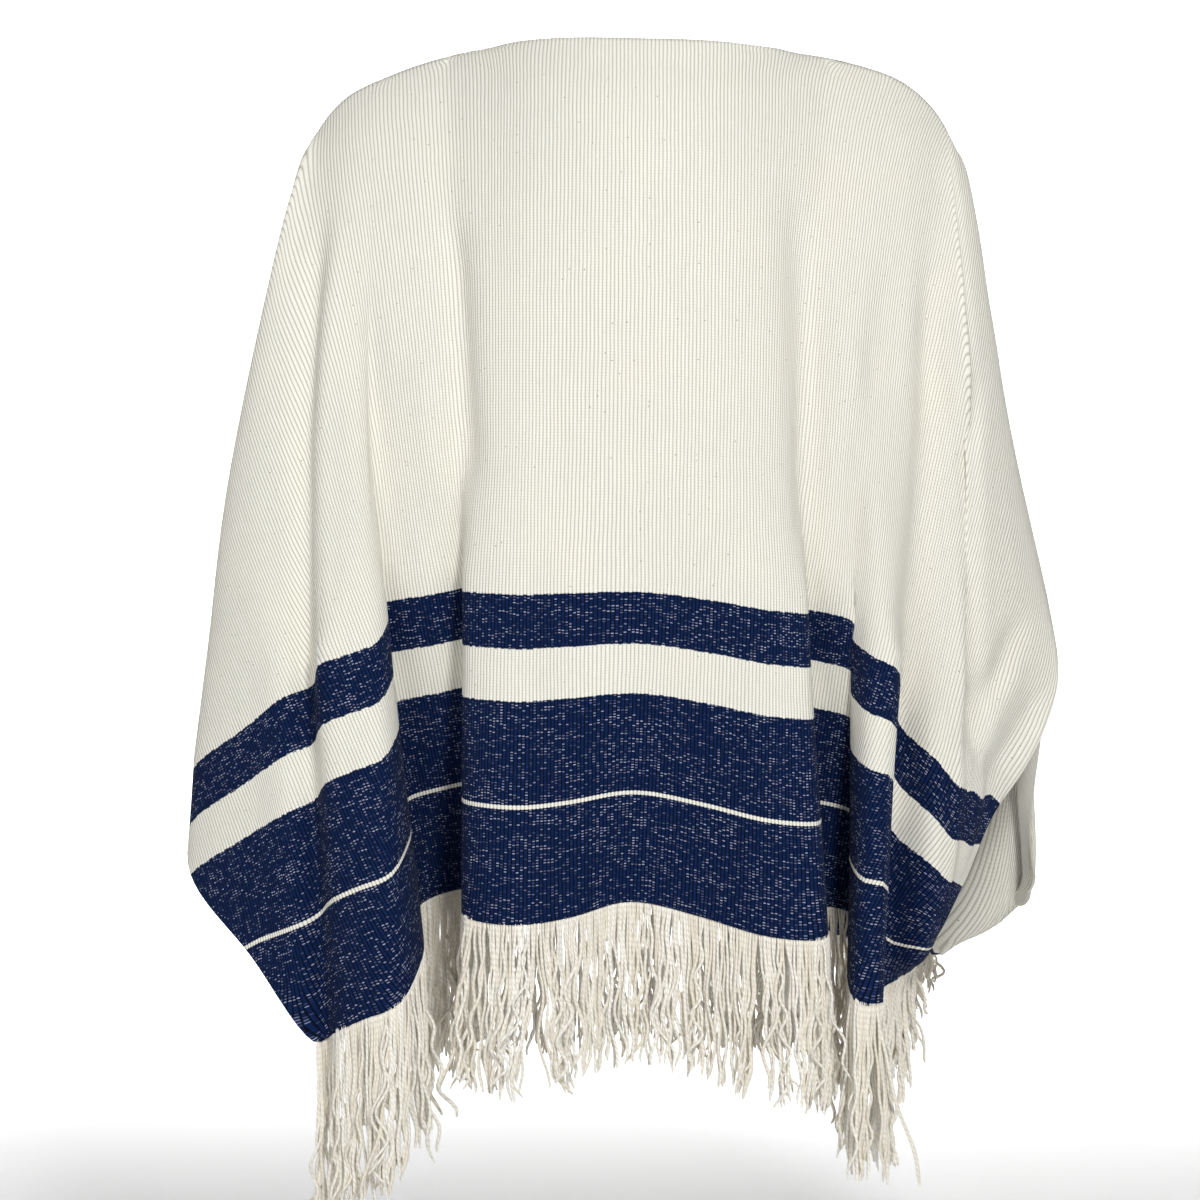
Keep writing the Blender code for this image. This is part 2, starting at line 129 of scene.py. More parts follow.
# How yarns hang: yarns in a lock, how far they gather to its middle, then leans, pushes and waves in metres.
LOCK_YARNS = (5, 16)
LOCK_GATHER = (0.05, 0.5)
YARN_GATHER = (0.7, 1.1)
STRAY_GATHER = (-0.8, 0.3)
STRAY_SHARE = 0.2
LOCK_LEAN = 0.0035
YARN_LEAN = 0.002
STRAY_LEAN = 0.015
LOCK_PUSH = 0.0018
YARN_PUSH = 0.0024
STRAY_PUSH = (0.003, 0.009)
LOCK_WAVE = (0.0006, 0.0026)
YARN_WAVE = (0.0008, 0.0026)
STRAY_WAVE = (0.001, 0.005)
LOCK_TURNS = (1.0, 2.4)
YARN_TURNS = (1.5, 4.5)
YARN_LAYER = (-0.0018, 0.0010)
LAYER_REACH = 0.1
SWAY_SHARE = 0.6
FALL_PACE = 4.0
LEAN_POWER = 1.4
WAVE_POWER = 0.8
HEM_MEASURE = 0.97

# How long the yarns are along the hem: s, then the length.
FRINGE_LENGTHS = (
    (-0.520, 0.075),
    (-0.490, 0.090),
    (-0.460, 0.125),
    (-0.380, 0.129),
    (-0.180, 0.129),
    (-0.080, 0.122),
    (0.000, 0.118),
    (0.060, 0.127),
    (0.120, 0.127),
    (0.180, 0.122),
    (0.300, 0.126),
    (0.400, 0.132),
    (0.520, 0.136),
)

# Soft ridges and troughs: height, half width, then x and z of places along the line.
BACK_CREASES = (
    (-0.0096, 0.009,
     ((0.230, -0.123), (0.241, -0.215), (0.243, -0.313), (0.240, -0.435), (0.235, -0.538))),
    (0.0048, 0.008, ((0.221, -0.112), (0.233, -0.313), (0.229, -0.458), (0.223, -0.567))),
    (-0.0048, 0.012, ((0.210, -0.170), (0.180, -0.373), (0.166, -0.442))),
    (0.0040, 0.011, ((0.161, -0.244), (0.137, -0.384))),
    (-0.0080, 0.012, ((0.137, -0.130), (0.128, -0.252), (0.119, -0.373))),
    (-0.0024, 0.013, ((0.062, -0.281), (0.045, -0.435))),
    (-0.0024, 0.008, ((-0.016, -0.105), (-0.010, -0.186))),
    (-0.0080, 0.014, ((-0.126, -0.100), (-0.130, -0.373), (-0.135, -0.435))),
    (0.0040, 0.012, ((-0.160, -0.215), (-0.173, -0.310), (-0.182, -0.420))),
    (-0.0064, 0.012, ((-0.205, -0.145), (-0.160, -0.382), (-0.142, -0.443))),
    (-0.0080, 0.01, ((-0.228, -0.142), (-0.222, -0.297), (-0.210, -0.434), (-0.205, -0.530))),
    (0.0048, 0.01, ((-0.235, -0.215), (-0.251, -0.318))),
    (-0.0080, 0.007,
     ((-0.262, -0.244), (-0.251, -0.328), (-0.254, -0.434), (-0.260, -0.540), (-0.268, -0.589))),
    (-0.0055, 0.010, ((-0.302, -0.435), (-0.280, -0.485), (-0.261, -0.515), (-0.251, -0.567))),
    (0.0033, 0.009, ((-0.299, -0.479), (-0.277, -0.516), (-0.263, -0.552))),
    (-0.0050, 0.010, ((-0.317, -0.501), (-0.292, -0.541), (-0.268, -0.574))),
)
# The front has plain ones of the same kind.
FRONT_CREASES = (
    (-0.004, 0.012, ((0.148, -0.142), (0.155, -0.274), (0.148, -0.406))),
    (0.003, 0.01, ((0.111, -0.186), (0.097, -0.347))),
    (-0.0025, 0.012, ((0.053, -0.274), (0.042, -0.435))),
    (-0.0015, 0.01, ((-0.006, -0.178), (-0.003, -0.237))),
    (-0.004, 0.013, ((-0.094, -0.134), (-0.100, -0.303), (-0.109, -0.428))),
    (0.003, 0.011, ((-0.160, -0.215), (-0.173, -0.376))),
    (-0.005, 0.012, ((-0.197, -0.164), (-0.189, -0.303), (-0.200, -0.464))),
    (-0.004, 0.01, ((0.221, -0.215), (0.230, -0.347), (0.227, -0.464))),
)

# A crease fades out over this share of its length at each end, and where the cloth turns away.
CREASE_FADE = 0.25
CREASE_TURN = 1.6

# The camera looks level along -Y. Its picture is twice VIEW_HALF_WIDTH wide at the origin.
CAMERA_PLACE = (0.0234, 2.4, -0.435)
VIEW_HALF_WIDTH = 0.468

FLOOR_Z = -1.02
FLOOR_HALF_WIDTH = 9.0
BACKDROP_Y = -4.5
BACKDROP_TURN = 1.6
BACKDROP_HEIGHT = 5.0
SKY_STRENGTH = 0.23

# Lights: name, place, what it looks at, size, power in watts.
LIGHTS = (
    ("high key", (-0.8, 3.1, 1.5), (0.0, 0.0, -0.4), 0.7, 77.0),
    ("side fill", (1.8, 2.6, 0.3), (0.0, 0.0, -0.4), 1.6, 15.0),
    ("front fill", (0.6, -2.6, 1.2), (0.0, 0.0, -0.4), 1.6, 22.0),
    ("backdrop light", (0.0, -2.6, 2.6), (0.0, -6.5, 0.2), 3.0, 420.0),
)

# The shoulder line, from the left arm over both shoulders to the right arm:
# s across the cloth, then x and z of the place where it lies.
SHOULDER_LINE = (
    (0.520, 0.300, -0.330),
    (0.400, 0.280, -0.208),
    (0.285, 0.254, -0.092),
    (0.262, 0.243, -0.070),
    (0.232, 0.222, -0.045),
    (0.195, 0.187, -0.027),
    (0.150, 0.142, -0.012),
    (0.110, 0.101, -0.004),
    (0.000, -0.010, -0.002),
    (-0.110, -0.121, -0.008),
    (-0.165, -0.175, -0.018),
    (-0.210, -0.214, -0.033),
    (-0.244, -0.237, -0.054),
    (-0.285, -0.256, -0.090),
    (-0.400, -0.281, -0.212),
    (-0.520, -0.300, -0.338),
)

# Each fold: its name, s at the shoulder line, s and t where it ends in the flat cloth,
# then (share of the way, x, y, z) for the places that it hangs through.
BACK_FOLDS = (
    ("left side, turned forward", 0.276, 0.520, 0.20, (0.5, 0.272, 0.045, -0.245),
     (1.0, 0.294, 0.075, -0.420)),
    ("left side, hollow", 0.268, 0.520, 0.36, (0.5, 0.277, 0.040, -0.300), (1.0, 0.304, 0.030, -0.530)),
    ("left outline", 0.262, 0.520, 0.512, (0.25, 0.274, 0.045, -0.205), (0.5, 0.309, 0.075, -0.367),
     (1.0, 0.329, 0.100, -0.640)),
    ("left outer panel", 0.256, 0.520, 0.60, (0.5, 0.280, 0.100, -0.392), (1.0, 0.279, 0.140, -0.697)),
    ("left corner", 0.250, 0.520, 0.68, (0.5, 0.252, 0.108, -0.408), (1.0, 0.229, 0.165, -0.757)),
    ("left crease", 0.245, 0.500, 0.68, (0.5, 0.238, 0.104, -0.406), (1.0, 0.222, 0.158, -0.754)),
    ("left ridge", 0.238, 0.478, 0.68, (0.5, 0.232, 0.130, -0.390), (1.0, 0.212, 0.182, -0.746)),
    ("left inner panel", 0.226, 0.452, 0.68, (0.5, 0.212, 0.130, -0.382), (1.0, 0.194, 0.196, -0.736)),
    ("left inner ridge", 0.214, 0.405, 0.68, (0.5, 0.193, 0.124, -0.374), (1.0, 0.165, 0.200, -0.722)),
    ("left valley lip", 0.206, 0.372, 0.68, (0.5, 0.188, 0.118, -0.364), (1.0, 0.154, 0.172, -0.698)),
    ("left valley floor, outer", 0.194, 0.272, 0.68, (0.5, 0.182, 0.108, -0.352),
     (1.0, 0.157, 0.088, -0.662)),
    ("left valley floor, middle", 0.172, 0.250, 0.68, (0.5, 0.151, 0.118, -0.348),
     (1.0, 0.143, 0.083, -0.656)),
    ("left valley floor, inner", 0.156, 0.228, 0.68, (0.5, 0.132, 0.106, -0.344),
     (1.0, 0.127, 0.088, -0.652)),
    ("middle panel, left ridge", 0.142, 0.126, 0.68, (0.5, 0.119, 0.130, -0.343),
     (1.0, 0.118, 0.174, -0.666)),
    ("middle panel, left", 0.092, 0.086, 0.68, (0.5, 0.080, 0.140, -0.344), (1.0, 0.081, 0.188, -0.669)),
    ("middle panel, soft trough", 0.055, 0.050, 0.68, (0.5, 0.050, 0.134, -0.344),
     (1.0, 0.046, 0.174, -0.665)),
    ("middle of the back", 0.004, 0.002, 0.68, (0.5, -0.006, 0.139, -0.345), (1.0, 0.004, 0.156, -0.655)),
    ("middle panel, right", -0.056, -0.056, 0.68, (0.5, -0.060, 0.140, -0.350),
     (1.0, -0.050, 0.166, -0.665)),
    ("middle panel, right crown", -0.105, -0.104, 0.68, (0.5, -0.104, 0.140, -0.356),
     (1.0, -0.096, 0.186, -0.677)),
    ("middle panel, right ridge", -0.138, -0.146, 0.68, (0.5, -0.124, 0.132, -0.358),
     (1.0, -0.134, 0.188, -0.680)),
    ("right valley floor, inner", -0.155, -0.252, 0.68, (0.5, -0.137, 0.114, -0.360),
     (1.0, -0.147, 0.096, -0.664)),
    ("right valley floor, outer", -0.180, -0.274, 0.68, (0.5, -0.158, 0.124, -0.364),
     (1.0, -0.168, 0.096, -0.670)),
    ("right valley lip", -0.200, -0.340, 0.68, (0.5, -0.170, 0.114, -0.376), (1.0, -0.158, 0.152, -0.712)),
    ("right inner panel", -0.214, -0.374, 0.68, (0.5, -0.184, 0.128, -0.386), (1.0, -0.163, 0.184, -0.726)),
    ("right ridge", -0.226, -0.402, 0.68, (0.5, -0.203, 0.132, -0.400), (0.75, -0.190, 0.157, -0.564),
     (1.0, -0.180, 0.180, -0.728)),
    ("right crease", -0.236, -0.438, 0.68, (0.5, -0.209, 0.097, -0.422), (0.64, -0.197, 0.096, -0.528),
     (0.753, -0.190, 0.100, -0.602), (0.87, -0.186, 0.106, -0.684), (1.0, -0.183, 0.108, -0.726)),
    ("right outer panel", -0.246, -0.478, 0.68, (0.5, -0.233, 0.098, -0.432), (0.64, -0.223, 0.112, -0.556),
     (0.753, -0.219, 0.116, -0.629), (0.87, -0.213, 0.118, -0.693), (1.0, -0.206, 0.094, -0.715)),
    ("right corner", -0.254, -0.520, 0.68, (0.5, -0.250, 0.100, -0.432), (0.64, -0.240, 0.106, -0.574),
     (0.753, -0.234, 0.107, -0.642), (0.87, -0.223, 0.106, -0.693), (1.0, -0.217, 0.068, -0.709)),
    ("right side edge, lowest", -0.257, -0.520, 0.60, (0.5, -0.255, 0.096, -0.404),
     (0.722, -0.250, 0.099, -0.579), (0.853, -0.240, 0.099, -0.645), (1.0, -0.223, 0.098, -0.697)),
    ("right side edge, low", -0.260, -0.520, 0.512, (0.5, -0.260, 0.090, -0.376),
     (0.75, -0.265, 0.091, -0.526), (0.846, -0.262, 0.090, -0.584), (1.0, -0.248, 0.088, -0.650)),
    ("right side edge, middle", -0.264, -0.520, 0.433, (0.5, -0.269, 0.080, -0.338),
     (0.75, -0.279, 0.078, -0.470), (1.0, -0.279, 0.068, -0.589)),
    ("under the elbow", -0.268, -0.520, 0.405, (0.5, -0.277, 0.068, -0.326), (0.75, -0.293, 0.068, -0.455),
     (1.0, -0.292, 0.053, -0.576)),
    ("elbow, lower puff", -0.272, -0.520, 0.37, (0.5, -0.281, 0.060, -0.316), (0.75, -0.300, 0.060, -0.435),
     (1.0, -0.311, 0.051, -0.550)),
    ("elbow", -0.276, -0.520, 0.33, (0.5, -0.285, 0.048, -0.304), (1.0, -0.330, 0.036, -0.512)),
    ("elbow, upper puff", -0.279, -0.520, 0.24, (0.5, -0.284, 0.033, -0.282), (1.0, -0.326, 0.034, -0.470)),
    ("above the elbow", -0.282, -0.520, 0.13, (0.5, -0.281, 0.017, -0.252), (1.0, -0.319, 0.018, -0.416)),
)
FRONT_FOLDS = (
    ("left side, turned back", 0.276, 0.520, 0.20, (0.5, 0.272, -0.045, -0.245),
     (1.0, 0.298, -0.080, -0.420)),
    ("left side, hollow", 0.268, 0.520, 0.36, (0.5, 0.278, -0.040, -0.300), (1.0, 0.308, -0.040, -0.530)),
    ("left outline", 0.262, 0.520, 0.512, (0.25, 0.272, -0.045, -0.205), (0.5, 0.306, -0.080, -0.365),
     (1.0, 0.326, -0.105, -0.645)),
    ("left outer panel", 0.256, 0.520, 0.60, (0.5, 0.280, -0.105, -0.388), (1.0, 0.285, -0.150, -0.700)),
    ("left corner", 0.250, 0.520, 0.68, (0.5, 0.254, -0.115, -0.400), (1.0, 0.236, -0.176, -0.752)),
    ("left ridge", 0.236, 0.470, 0.68, (0.5, 0.232, -0.138, -0.385), (1.0, 0.212, -0.204, -0.748)),
    ("left inner panel", 0.216, 0.410, 0.68, (0.5, 0.200, -0.142, -0.372), (1.0, 0.174, -0.206, -0.728)),
    ("left valley, outer", 0.196, 0.318, 0.68, (0.5, 0.176, -0.126, -0.355), (1.0, 0.160, -0.130, -0.684)),
    ("left valley, inner", 0.170, 0.272, 0.68, (0.5, 0.142, -0.128, -0.350), (1.0, 0.132, -0.126, -0.676)),
    ("chest, left ridge", 0.148, 0.172, 0.68, (0.5, 0.116, -0.156, -0.350), (1.0, 0.116, -0.206, -0.690)),
    ("chest, left", 0.092, 0.104, 0.68, (0.5, 0.070, -0.166, -0.352), (1.0, 0.066, -0.214, -0.694)),
    ("chest, soft trough", 0.040, 0.044, 0.68, (0.5, 0.022, -0.158, -0.350), (1.0, 0.018, -0.190, -0.684)),
    ("middle of the front", -0.010, -0.012, 0.68, (0.5, -0.022, -0.164, -0.352),
     (1.0, -0.026, -0.204, -0.688)),
    ("chest, right", -0.082, -0.088, 0.68, (0.5, -0.080, -0.166, -0.354), (1.0, -0.082, -0.220, -0.698)),
    ("chest, right ridge", -0.140, -0.160, 0.68, (0.5, -0.124, -0.152, -0.352),
     (1.0, -0.126, -0.196, -0.694)),
    ("right valley, inner", -0.164, -0.256, 0.68, (0.5, -0.142, -0.128, -0.352),
     (1.0, -0.134, -0.122, -0.676)),
    ("right valley, outer", -0.184, -0.300, 0.68, (0.5, -0.168, -0.126, -0.356),
     (1.0, -0.158, -0.124, -0.682)),
    ("right inner panel", -0.208, -0.372, 0.68, (0.5, -0.196, -0.142, -0.372),
     (1.0, -0.172, -0.200, -0.716)),
    ("right ridge", -0.222, -0.412, 0.68, (0.5, -0.224, -0.134, -0.392), (1.0, -0.204, -0.214, -0.724)),
    ("lobe, inner", -0.232, -0.450, 0.68, (0.40, -0.250, -0.108, -0.430), (0.57, -0.248, -0.102, -0.680),
     (0.64, -0.244, -0.130, -0.712), (0.85, -0.232, -0.205, -0.655), (1.0, -0.226, -0.214, -0.716)),
    ("lobe, middle", -0.242, -0.488, 0.68, (0.38, -0.286, -0.082, -0.430), (0.56, -0.278, -0.062, -0.688),
     (0.62, -0.272, -0.088, -0.712), (0.84, -0.250, -0.195, -0.640), (1.0, -0.244, -0.206, -0.698)),
    ("right corner", -0.250, -0.520, 0.68, (0.36, -0.308, -0.064, -0.430), (0.55, -0.308, -0.042, -0.668),
     (0.61, -0.303, -0.070, -0.694), (0.84, -0.270, -0.180, -0.625), (1.0, -0.262, -0.194, -0.680)),
    ("lobe, outer", -0.256, -0.520, 0.54, (0.45, -0.308, -0.052, -0.420), (0.70, -0.322, -0.034, -0.648),
     (0.77, -0.319, -0.048, -0.670), (1.0, -0.300, -0.090, -0.674)),
    ("lobe tip", -0.261, -0.520, 0.42, (0.5, -0.302, -0.042, -0.400), (0.80, -0.304, -0.032, -0.570),
     (1.0, -0.320, -0.028, -0.655)),
    ("under the elbow", -0.266, -0.520, 0.32, (0.5, -0.308, -0.034, -0.340), (1.0, -0.306, -0.026, -0.590)),
    ("elbow", -0.272, -0.520, 0.22, (0.5, -0.294, -0.026, -0.280), (1.0, -0.340, -0.022, -0.505)),
    ("above the elbow", -0.279, -0.520, 0.11, (0.5, -0.280, -0.012, -0.240), (1.0, -0.316, -0.014, -0.400)),
)


def smooth_curve(knots, values, places):
    """Values at these places on a smooth curve through the values at the knots."""
    knots = np.asarray(knots, float)
    values = np.asarray(values, float)
    places = np.clip(places, knots[0], knots[-1])
    slopes = np.gradient(values, knots, axis=0)
    index = np.clip(np.searchsorted(knots, places, side="right") - 1, 0, len(knots) - 2)
    span = knots[index + 1] - knots[index]
    share = ((places - knots[index]) / span)[:, None]
    span = span[:, None]
    ahead = share * share * (3.0 - 2.0 * share)
    leave = share * (1.0 - share) ** 2
    arrive = share * share * (1.0 - share)
    return (values[index] * (1.0 - ahead) + values[index + 1] * ahead
            + span * (leave * slopes[index] - arrive * slopes[index + 1]))


def shoulder_point(s, facing):
    """The place on the shoulder line or neck edge of the panel that faces +1 back or -1 front."""
    line = np.array(SHOULDER_LINE)[::-1]
    x, z = smooth_curve(line[:, 0], line[:, 1:], np.array([s]))[0]
    open_share = max(0.0, 1.0 - (s / NECK_HALF_WIDTH) ** 2)
    depth = NECK_BACK_DEPTH if facing > 0 else NECK_FRONT_DEPTH
    drop = NECK_BACK_DROP if facing > 0 else NECK_FRONT_DROP
    y = facing * (SEAM_GAP / 2 + depth * open_share ** NECK_CURVE)
    return np.array([x, y, z - drop * open_share])


def arm_line(s_from, s_to, places, facing):
    """The shoulder line where it runs down an arm, which is the last line of a panel on that side."""
    return np.array([shoulder_point(s_from + (s_to - s_from) * place, facing) for place in places])


def fold_line(fold, places, facing):
    """The points of one fold at these shares of its way, rounded over the top of the shoulder."""
    stations = [(0.0, *shoulder_point(fold[1], facing)), *fold[4:]]
    stations = np.array(stations)
    points = smooth_curve(stations[:, 0], stations[:, 1:], places)
    power = SHOULDER_ROUND_POWER
    peak = power ** power / (power + 1) ** (power + 1)
    rounding = places * (1.0 - places) ** power / peak
    points[:, 1] += facing * SHOULDER_ROUND_Y * rounding
    points[:, 2] += SHOULDER_ROUND_Z * rounding
    return points


def flat_ends(folds):
    """Start and end of every line in the flat cloth, with an arm line before the folds and one after."""
    side = (ARM_START, HALF_WIDTH, 0.0)
    return [side, *((fold[1], fold[2], fold[3]) for fold in folds), (-side[0], -side[1], 0.0)]


def line_places(folds):
    """How far across each line is, measured in the flat cloth at the same share of the way down."""
    share = MEASURING_SHARE
    points = [(s + (s_end - s) * share, t_end * share) for s, s_end, t_end in flat_ends(folds)]
    steps = [np.hypot(b[0] - a[0], b[1] - a[1]) for a, b in zip(points, points[1:])]
    return np.concatenate([[0.0], np.cumsum(steps)])


def panel_surface(folds, facing, columns, places):
    """Points of the middle of the cloth: one row of them for each column, from the shoulders down."""
    ends = flat_ends(folds)
    lines = [arm_line(*ends[0][:2], places, facing)]
    lines += [fold_line(fold, places, facing) for fold in folds]
    lines.append(arm_line(*ends[-1][:2], places, facing))
    lines = np.array(lines).reshape(len(lines), -1)
    points = smooth_curve(line_places(folds), lines, columns).reshape(len(columns), len(places), 3)
    if places[0] == 0.0:
        starts = np.interp(columns, line_places(folds), [end[0] for end in ends])
        points[:, 0] = [shoulder_point(s, facing) for s in starts]
    return points


def matched_columns(folds, starts):
    """The columns of a panel that leave the shoulder line at these places."""
    lines = line_places(folds)
    ends = np.array(flat_ends(folds))
    return np.interp(-starts, -ends[:, 0], lines)


def flat_places(folds, columns, places, facing):
    """s and signed t of each point of the panel in the flat cloth, the front's t counted below zero."""
    lines = line_places(folds)
    s_top, s_end, t_end = smooth_curve(lines, flat_ends(folds), columns).T[:, :, None]
    return np.stack([s_top + (s_end - s_top) * places, facing * t_end * places], axis=2)


def between(values, axis):
    """The values half way between neighbours along this axis of the grid."""
    return 0.5 * (np.delete(values, 0, axis) + np.delete(values, -1, axis))


def spread(steps, axis):
    """What the steps between neighbours along this axis add up to at each point of the grid."""
    pads = [(0, 0), (0, 0)]
    pads[axis] = (1, 1)
    return -np.diff(np.pad(steps, pads), axis=axis)


def way_across(points, t):
    """The unit way over the cloth at each point that stays level in t, towards rising s."""
    across, down = np.gradient(points, axis=0), np.gradient(points, axis=1)
    aa, ad, dd = (across * across).sum(2), (across * down).sum(2), (down * down).sum(2)
    rise_across, rise_down = np.gradient(t, axis=0), np.gradient(t, axis=1)
    share_across = (dd * rise_across - ad * rise_down)[:, :, None]
    share_down = (aa * rise_down - ad * rise_across)[:, :, None]
    way = np.cross(share_across * across + share_down * down, np.cross(across, down))
    way /= np.maximum(np.linalg.norm(way, axis=2, keepdims=True), TINY)
    return way * np.sign(way[:, :, 0].mean())


def even_ribs(points, s, t, gathered):
    """s of each point, moved by least squares so that ribs cross the wefts squarely at an even spacing."""
    way = way_across(points, t)
    start = s[:, :1]
    moving = (start > RIB_STILL) | ((start < -RIB_STILL) & (start > gathered))
    hold = np.where(moving, RIB_HOLD, 1.0)
    free = np.ones(s.shape)
    free[:, 0] = 0.0
    sizes = [np.linalg.norm(np.gradient(points, axis=axis), axis=2) + LEAST_STEP for axis in (0, 1)]
    weights = [between(sizes[1 - axis] / sizes[axis], axis) for axis in (0, 1)]
    left = np.zeros(s.shape)
    for axis in (0, 1):
        wanted = (between(way, axis) * np.diff(points, axis=axis)).sum(2) - np.diff(s, axis=axis)
        left += free * spread(weights[axis] * wanted, axis)
    shift, course, size = np.zeros(s.shape), left.copy(), (left * left).sum()
    for _ in range(RIB_ROUNDS):
        pulled = hold * course
        for axis in (0, 1):
            pulled = pulled + spread(weights[axis] * np.diff(course, axis=axis), axis)
        pulled *= free
        stride = size / (course * pulled).sum()
        shift += stride * course
        left -= stride * pulled
        fresh = (left * left).sum()
        course = left + fresh / size * course
        size = fresh
    return s + shift


def rounded(values, share, passes):
    """The values drawn towards the middle of their neighbours across the panel, as far as share says."""
    for _ in range(passes):
        middle = 0.25 * values[:-2] + 0.5 * values[1:-1] + 0.25 * values[2:]
        values = np.concatenate([values[:1], values[1:-1] + share * (middle - values[1:-1]), values[-1:]])
    return values


def press_creases(points, facing, creases):
    """The points with soft ridges and troughs pressed in along lines of x and z."""
    out = np.cross(np.gradient(points, axis=0), np.gradient(points, axis=1))
    out /= np.maximum(np.linalg.norm(out, axis=2, keepdims=True), TINY)
    out *= facing * np.sign(out[:, :, 1].mean())
    shown = np.clip(facing * out[:, :, 1] * CREASE_TURN, 0.0, 1.0)
    level = points[:, :, (0, 2)]
    raised = points.copy()
    for height, width, line in creases:
        line = np.array(line)
        runs = np.linalg.norm(np.diff(line, axis=0), axis=1)
        before = np.concatenate([[0.0], np.cumsum(runs)])
        nearest = np.full(shown.shape, np.inf)
        place = np.zeros(shown.shape)
        for start, end, run, ahead in zip(line[:-1], line[1:], runs, before):
            share = np.clip((level - start) @ (end - start) / run ** 2, 0.0, 1.0)
            away = np.linalg.norm(level - start - share[:, :, None] * (end - start), axis=2)
            place = np.where(away < nearest, (ahead + share * run) / before[-1], place)
            nearest = np.minimum(nearest, away)
        fade = np.clip(np.minimum(place, 1.0 - place) / CREASE_FADE, 0.0, 1.0)
        amount = height * np.exp(-(nearest / width) ** 2) * fade * fade * (3.0 - 2.0 * fade) * shown
        raised += amount[:, :, None] * out
    return raised


def mesh_object(name, points, faces, flat, surface):
    """A smooth mesh whose corners carry the flat cloth's measures as a map."""
    mesh = bpy.data.meshes.new(name)
    mesh.from_pydata([tuple(point) for point in points], [], [tuple(face) for face in faces])
    mesh.materials.append(surface)
    layer = mesh.uv_layers.new(name="flat")
    layer.data.foreach_set("uv", np.asarray(flat, float).ravel())
    mesh.shade_smooth()
    made = bpy.data.objects.new(name, mesh)
    bpy.context.collection.objects.link(made)
    return made


def cloth_points():
    """Points and flat places of both panels on one grid that meets along the shoulder line."""
    lines = line_places(BACK_FOLDS)
    back = np.linspace(0.0, lines[-1], COLUMNS + 1)
    starts = np.interp(back, lines, np.array(flat_ends(BACK_FOLDS))[:, 0])
    places = np.linspace(0.0, 1.0, ROWS + 1) ** ROW_CROWDING
    places = np.insert(places, -1, 1.0 - EDGE_STEP)
    made = []
    front = matched_columns(FRONT_FOLDS, starts)
    panels = (
        (BACK_FOLDS, 1, back, RIB_GATHERED, BACK_CREASES),
        (FRONT_FOLDS, -1, front, -RIB_STILL, FRONT_CREASES),
    )
    for folds, facing, columns, gathered, creases in panels:
        points = panel_surface(folds, facing, columns, places)
        flat = flat_places(folds, columns, places, facing)
        share = np.interp(np.abs(flat[1:-1, :, 1:]), *SOFTNESS)
        points = rounded(points, share, SOFT_PASSES)
        flat[:, :, 1:] = rounded(flat[:, :, 1:], share, SOFT_PASSES)
        flat[:, :, 1:] = rounded(flat[:, :, 1:], 1.0, BAND_PASSES)
        level = rounded(flat[:, :, 1], 1.0, LEVEL_PASSES)
        flat[:, :, 0] = even_ribs(points, flat[:, :, 0], level, gathered)
        points = press_creases(points, facing, creases)
        made.append((points, flat))
    return made


def make_cloth(surface):
    """The whole cloth as one sheet with its thickness, open at the neck, the hem and the arms."""
    points, flat, faces, total = [], [], [], 0
    for (grid, places), facing in zip(cloth_points(), (1, -1)):
        across, down, _ = grid.shape
        index = total + np.arange(across * down).reshape(across, down)
        corners = [index[:-1, :-1], index[:-1, 1:], index[1:, 1:], index[1:, :-1]]
        quads = np.stack(corners, axis=2).reshape(-1, 4)
        faces.append(quads[:, ::facing])
        points.append(grid.reshape(-1, 3))
        flat.append(places.reshape(-1, 2))
        total += across * down
    points, flat, faces = np.concatenate(points), np.concatenate(flat), np.concatenate(faces)
    made = mesh_object("poncho_cloth", points, faces, flat[faces.ravel()], surface)
    weld = made.modifiers.new("weld", "WELD")
    weld.merge_threshold = WELD_REACH
    solid = made.modifiers.new("thickness", "SOLIDIFY")
    solid.thickness = CLOTH_THICKNESS
    solid.offset = 0.0
    apply_modifiers(made)
    return made


def apply_modifiers(made):
    """Puts the result of the object's modifiers in its mesh."""
    graph = bpy.context.evaluated_depsgraph_get()
    baked = bpy.data.meshes.new_from_object(made.evaluated_get(graph), depsgraph=graph)
    made.modifiers.clear()
    made.data = baked
    made.data.shade_smooth()


def hem_lines(folds, facing, cuts):
    """Places on the hem at these cuts of the flat cloth, with the unit ways down and out there."""
    lines = line_places(folds)
    ends = flat_ends(folds)
    hem = np.array([(end[1], place) for end, place in zip(ends, lines) if end[2] == PANEL_LENGTH])
    columns = np.interp(-cuts, -hem[:, 0], hem[:, 1])
    points = panel_surface(folds, facing, columns, np.array([HEM_MEASURE, 1.0]))
    down = points[:, 1] - points[:, 0]
    down /= np.linalg.norm(down, axis=1, keepdims=True)
    out = facing * np.cross(down, np.gradient(points[:, 1], axis=0))
    out /= np.linalg.norm(out, axis=1, keepdims=True)
    return points[:, 1], down, out


def strand_locks(count, rng):
    """For each yarn, the yarn in the middle of its lock, and the lock's number."""
    middle = np.zeros(count, int)
    number = np.zeros(count, int)
    start = 0
    lock = 0
    while start < count:
        size = int(rng.integers(*LOCK_YARNS))
        middle[start:start + size] = min(start + size // 2, count - 1)
        number[start:start + size] = lock
        start += size
        lock += 1
    return middle, number


def strand_lengths(cuts, rng):
    """Lengths of the yarns: they grow and shrink along the hem, and each is torn off at its own place."""
    table = np.array(FRINGE_LENGTHS)
    return np.interp(cuts, table[:, 0], table[:, 1]) * rng.triangular(*STRAND_TORN, len(cuts))


